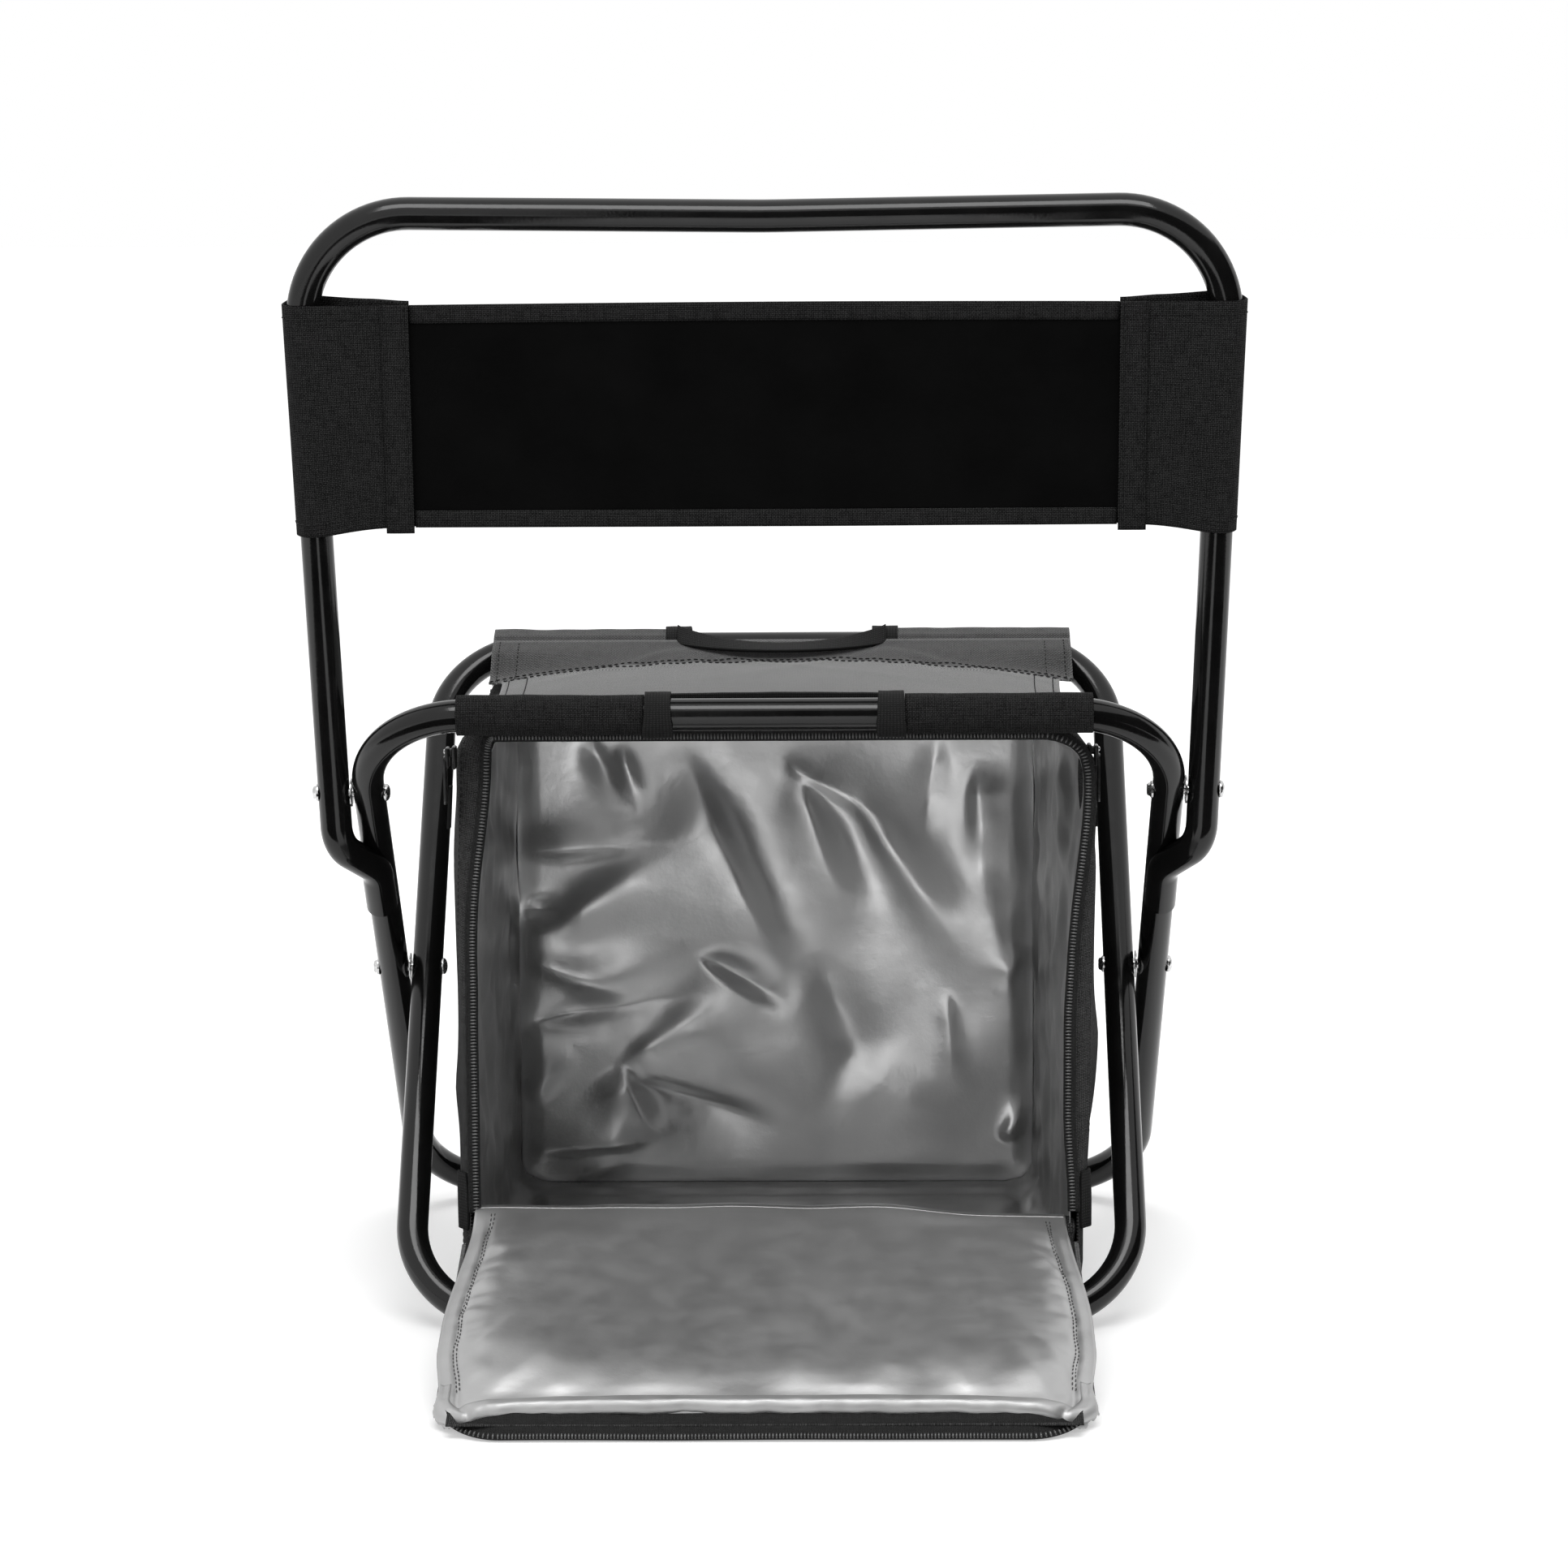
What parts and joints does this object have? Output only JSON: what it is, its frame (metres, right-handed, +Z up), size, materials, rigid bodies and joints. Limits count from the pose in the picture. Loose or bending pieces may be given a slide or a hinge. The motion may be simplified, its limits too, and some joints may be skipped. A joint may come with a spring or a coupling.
{
  "type": "folding cooler stool",
  "caption": "Folding tube-frame stool with a sling backrest and an insulated cooler bag under the seat, its zipped flap open to the floor.",
  "frame": {"origin": "on the floor, under the middle of the whole stool with its flap open", "axes": "+Z up; the sitter faces +Y; the bag opens towards -Y, on the backrest's side; X runs along the seat bars"},
  "size_m": [0.469, 0.4632, 0.5638],
  "materials": {
    "black_tube": "gloss",
    "steel": "polished",
    "charcoal_fabric": "matte",
    "webbing": "matte",
    "silver_lining": "satin",
    "foam": "matte",
    "black_zip_metal": "satin"
  },
  "bodies": {
    "outer_frame": {"outer_leg_frame": "black_tube", "outer_splice_plug": "steel", "crossing_rivet_left": "steel", "crossing_rivet_right": "steel", "crossing_washer_left": "steel", "crossing_washer_right": "steel", "backrest_rivet_left": "steel", "backrest_rivet_right": "steel", "backrest_washer_left": "steel", "backrest_washer_right": "steel", "near_bar_sleeve_left": "charcoal_fabric", "near_bar_sleeve_right": "charcoal_fabric", "near_handle": "webbing", "seat_panel": "charcoal_fabric"},
    "inner_frame": {"inner_leg_frame": "black_tube", "inner_splice_plug": "steel", "far_bar_sleeve_left": "charcoal_fabric", "far_bar_sleeve_right": "charcoal_fabric", "far_handle": "webbing"},
    "backrest": {"backrest_frame": "black_tube", "backrest_sleeve_left": "charcoal_fabric", "backrest_sleeve_right": "charcoal_fabric", "backrest_panel": "charcoal_fabric"},
    "bag": {"bag_shell": "charcoal_fabric", "bag_lining": "silver_lining", "foam_left": "foam", "foam_right": "foam", "foam_floor": "foam", "foam_top": "foam", "foam_back": "foam", "foam_lip": "foam", "bag_zip_tape": "webbing", "zip_end_tab_left": "webbing", "zip_end_tab_right": "webbing"},
    "flap": {"flap_lining": "silver_lining", "flap_foam": "foam", "flap_shell": "charcoal_fabric", "flap_zip_tape": "webbing"},
    "slider_left": {"zip_slider_left": "black_zip_metal"},
    "slider_right": {"zip_slider_right": "black_zip_metal"},
    "pull_left": {"zip_pull_left": "black_zip_metal", "zip_pull_tail_left": "webbing"},
    "pull_right": {"zip_pull_right": "black_zip_metal", "zip_pull_tail_right": "webbing"}
  },
  "joints": [
    {"name": "frame_fold", "type": "hinge", "parent": "outer_frame", "child": "inner_frame", "pos_m": [0, 0.08553, 0.16011], "axis": [1, 0, 0], "range_deg": [0, 76], "deforming": ["seat_panel", "far_handle"]},
    {"name": "bag_follow", "type": "hinge", "parent": "outer_frame", "child": "bag", "pos_m": [0, 0.08553, 0.16011], "axis": [1, 0, 0], "range_deg": [0, 38]},
    {"name": "backrest_fold", "type": "hinge", "parent": "outer_frame", "child": "backrest", "pos_m": [0, -0.01127, 0.26819], "axis": [-1, 0, 0], "range_deg": [0, 68]},
    {"name": "flap_hinge", "type": "hinge", "parent": "bag", "child": "flap", "pos_m": [0, -0.03481, 0.06], "axis": [-1, 0, 0], "range_deg": [0, 103.5]},
    {"name": "zip_slide_left", "type": "slide", "parent": "bag", "child": "slider_left", "axis": [0, 0, 1], "range_m": [-0.15, 0]},
    {"name": "zip_slide_right", "type": "slide", "parent": "bag", "child": "slider_right", "axis": [0, 0, 1], "range_m": [-0.15, 0]},
    {"name": "pull_turn_left", "type": "hinge", "parent": "slider_left", "child": "pull_left", "pos_m": [-0.16168, -0.02651, 0.28821], "axis": [0, 1, 0], "range_deg": [0, 45]},
    {"name": "pull_turn_right", "type": "hinge", "parent": "slider_right", "child": "pull_right", "pos_m": [0.16168, -0.02651, 0.28821], "axis": [0, -1, 0], "range_deg": [0, 45]}
  ],
  "couplings": [
    {"joint": "bag_follow", "follows": "frame_fold", "ratio": 0.5}
  ]
}
